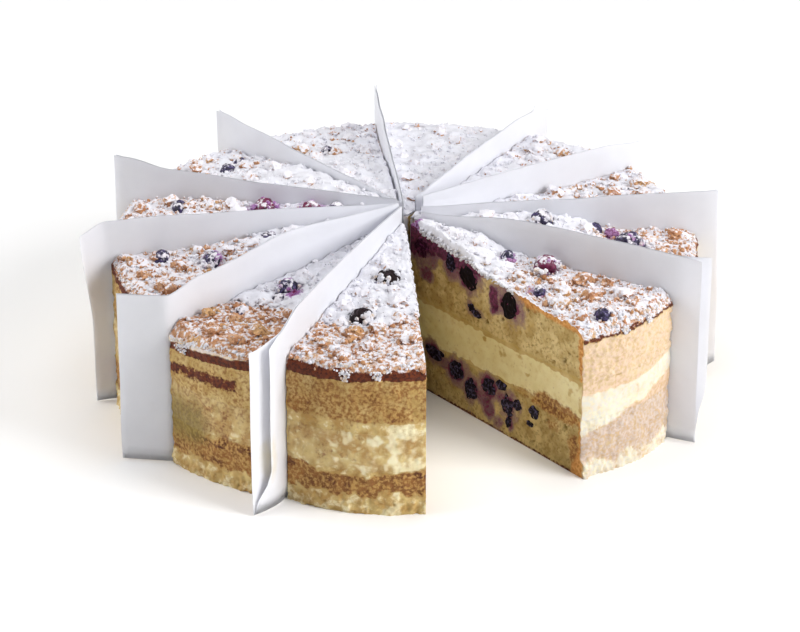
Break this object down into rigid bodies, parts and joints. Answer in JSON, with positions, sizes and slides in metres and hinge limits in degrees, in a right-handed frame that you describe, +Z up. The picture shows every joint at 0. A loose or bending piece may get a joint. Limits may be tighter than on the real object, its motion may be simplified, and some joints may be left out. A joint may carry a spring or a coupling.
{
  "type": "lemon berry cake",
  "caption": "Round filled sponge cake with sugared crumb topping and berries, cut into slices with paper dividers between them and a slice taken out.",
  "frame": {"origin": "middle of the cake with its papers, on the surface it stands on", "axes": "+Z up, -Y towards the front, where one slice is missing to the right of the middle, +X to the right"},
  "size_m": [0.276, 0.2567, 0.091],
  "materials": {
    "sponge": "matte",
    "cream": "satin",
    "topping": "matte",
    "divider": "satin",
    "berry": "satin"
  },
  "bodies": {
    "root": {"slice_a_base": "sponge", "slice_a_cream": "cream", "slice_a_top": "topping", "slice_b_base": "sponge", "slice_b_cream": "cream", "slice_b_top": "topping", "slice_c_base": "sponge", "slice_c_cream": "cream", "slice_c_top": "topping", "slice_d_base": "sponge", "slice_d_cream": "cream", "slice_d_top": "topping", "slice_e_base": "sponge", "slice_e_cream": "cream", "slice_e_top": "topping", "slice_f_base": "sponge", "slice_f_cream": "cream", "slice_f_top": "topping", "slice_g_base": "sponge", "slice_g_cream": "cream", "slice_g_top": "topping", "slice_h_base": "sponge", "slice_h_cream": "cream", "slice_h_top": "topping", "slice_i_base": "sponge", "slice_i_cream": "cream", "slice_i_top": "topping", "slice_j_base": "sponge", "slice_j_cream": "cream", "slice_j_top": "topping", "slice_k_base": "sponge", "slice_k_cream": "cream", "slice_k_top": "topping", "divider_01": "divider", "divider_02": "divider", "divider_03": "divider", "divider_04": "divider", "divider_05": "divider", "divider_06": "divider", "divider_07": "divider", "divider_08": "divider", "divider_09": "divider", "divider_10": "divider", "berry_top_01": "berry", "berry_top_02": "berry", "berry_top_03": "berry", "berry_top_04": "berry", "berry_top_05": "berry", "berry_top_06": "berry", "berry_top_07": "berry", "berry_top_08": "berry", "berry_top_09": "berry", "berry_face_01": "berry", "berry_face_02": "berry", "berry_face_03": "berry", "berry_face_04": "berry", "berry_face_05": "berry", "berry_face_06": "berry", "berry_face_07": "berry", "berry_face_08": "berry"}
  },
  "joints": []
}
